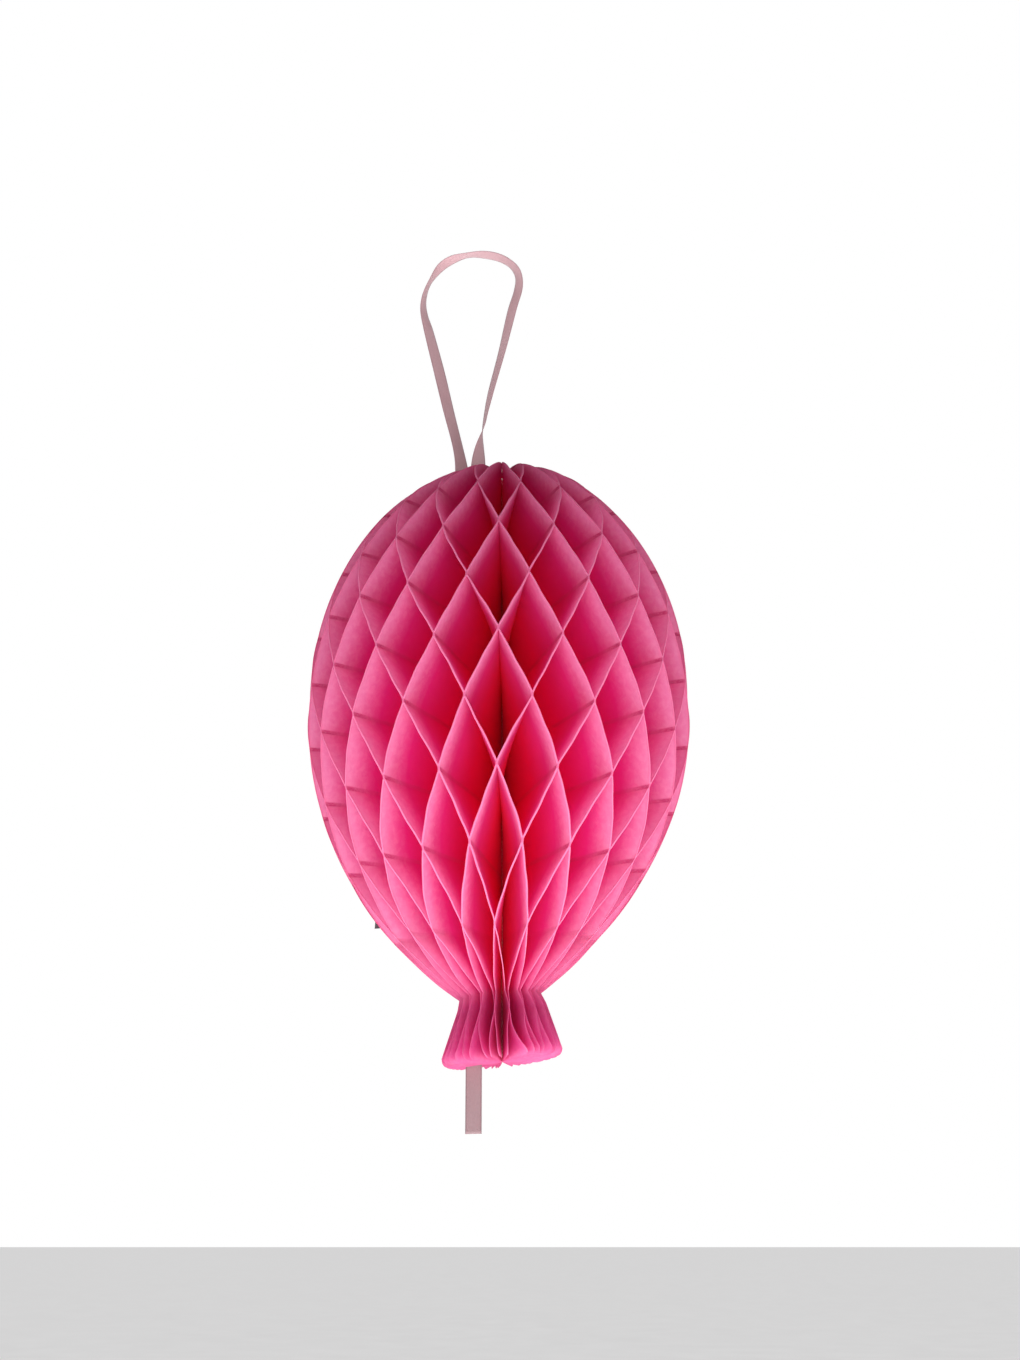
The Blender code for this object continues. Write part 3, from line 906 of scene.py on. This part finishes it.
def all_ribbons(finish, tail_finish):
    loop_route = [(r, CROWN_Z + h, turn) for r, h, turn in smooth_route(LOOP_ROUTE, LOOP_STATIONS)]
    loop, line, length = ribbon("ribbon_loop_satin", loop_route, finish, "ribbon_loop")
    tail_z = BASE_Z + TAIL_EXIT_HEIGHT
    tail_route = straight(RUN_RADIUS, tail_z, BASE_Z - TAIL_DROP, TAIL_STATIONS)
    tail, line, length = ribbon("ribbon_tail_satin", tail_route, tail_finish, "ribbon_tail")
    exit_z = CROWN_Z - RIBBON_EXIT_DROP - GAP
    tuck = straight(TUCK_RADIUS, exit_z, exit_z - TUCK_LENGTH, TUCK_STATIONS)
    ribbon("ribbon_tuck_satin", tuck, finish, "ribbon_tuck", glued_in=True)
    run = straight(RUN_RADIUS, exit_z, tail_z + GAP, RUN_STATIONS)
    ribbon("ribbon_run_satin", run, finish, "ribbon_run", glued_in=True)


# ---------------------------------------------------------------- camera and light


def camera():
    made = bpy.data.objects.new("camera", bpy.data.cameras.new("camera"))
    aim = SPINE + Vector((0, 0, BASE_Z + AIM_HEIGHT))
    back = Vector((0, -math.cos(CAMERA_BELOW), -math.sin(CAMERA_BELOW)))
    made.location = aim + back * CAMERA_DISTANCE
    made.rotation_euler = (math.pi / 2 + CAMERA_BELOW, 0, 0)
    made.data.lens = LENS
    made.data.sensor_width = SENSOR_WIDTH
    made.data.shift_x, made.data.shift_y = LENS_SHIFT
    made.data.clip_start = CLIP_START
    bpy.context.collection.objects.link(made)
    bpy.context.scene.camera = made


def softbox(name, turn, rise, distance, size, power):
    """A soft light round the balloon's middle; turn 0 is the camera's side."""
    middle = SPINE + Vector((0, 0, BASE_Z + BALLOON_HEIGHT / 2))
    turn, rise = math.radians(turn), math.radians(rise)
    level = math.cos(rise)
    away = Vector((math.sin(turn) * level, -math.cos(turn) * level, math.sin(rise)))
    data = bpy.data.lights.new(name, "AREA")
    data.shape = "DISK"
    data.size = size
    data.energy = power
    made = bpy.data.objects.new(name, data)
    made.location = middle + away * distance
    made.rotation_euler = (-away).to_track_quat("-Z", "Y").to_euler()
    made.visible_camera = False
    bpy.context.collection.objects.link(made)


def studio():
    """Soft lights all round, and a white background that only the camera sees."""
    for box in SOFTBOXES:
        softbox(*box)
    world = bpy.data.worlds.new("studio")
    world.use_nodes = True
    bpy.context.scene.world = world
    tree = world.node_tree
    tree.nodes.clear()
    seen = tree.nodes.new("ShaderNodeBackground")
    seen.inputs["Color"].default_value = (1, 1, 1, 1)
    light = tree.nodes.new("ShaderNodeBackground")
    colour, strength = WORLD_LIGHT
    light.inputs["Color"].default_value = (*colour, 1)
    light.inputs["Strength"].default_value = strength
    path = tree.nodes.new("ShaderNodeLightPath")
    mixed = tree.nodes.new("ShaderNodeMixShader")
    out = tree.nodes.new("ShaderNodeOutputWorld")
    tree.links.new(path.outputs["Is Camera Ray"], mixed.inputs[0])
    tree.links.new(light.outputs[0], mixed.inputs[1])
    tree.links.new(seen.outputs[0], mixed.inputs[2])
    tree.links.new(mixed.outputs[0], out.inputs["Surface"])
    scene = bpy.context.scene
    scene.view_settings.view_transform = "Standard"
    scene.cycles.max_bounces = BOUNCES
    scene.cycles.diffuse_bounces = SOFT_BOUNCES
    scene.cycles.transmission_bounces = SOFT_BOUNCES


def floor():
    """A plain pale floor, well below the hanging balloon."""
    mesh = bpy.data.meshes.new("floor")
    size, z = FLOOR_SIZE, BASE_Z - FLOOR_DROP
    corners = [(-size, -size, z), (size, -size, z), (size, size, z), (-size, size, z)]
    mesh.from_pydata(corners, [], [(0, 1, 2, 3)])
    made = bpy.data.objects.new("floor", mesh)
    finish = object_material("pale_floor", *FLOOR_COLOURS, 6.0, 0.7, 0.02, FLOOR_GLOW)
    mesh.materials.append(finish)
    bpy.context.collection.objects.link(made)


def dress_thread():
    """The spine thread keeps its CAD shape and gets a cotton material."""
    mesh = frame["nodes"]["spine_thread"].data
    mesh.materials.clear()
    mesh.materials.append(thread_material())


camera()
loop_satin = satin_material("satin_ribbon", LOOP_SHADE_FACTOR)
# the tail's copy, darker with painted shade
tail_satin = satin_material("satin_ribbon_tail_shaded", TAIL_SHADE_FACTOR)
all_ribbons(loop_satin, tail_satin)
tissue = tissue_material()
for leaf_number in range(1, LEAF_COUNT + 1):
    tissue_leaf(leaf_number, tissue)
covers_and_pads()
dress_thread()
floor()
studio()
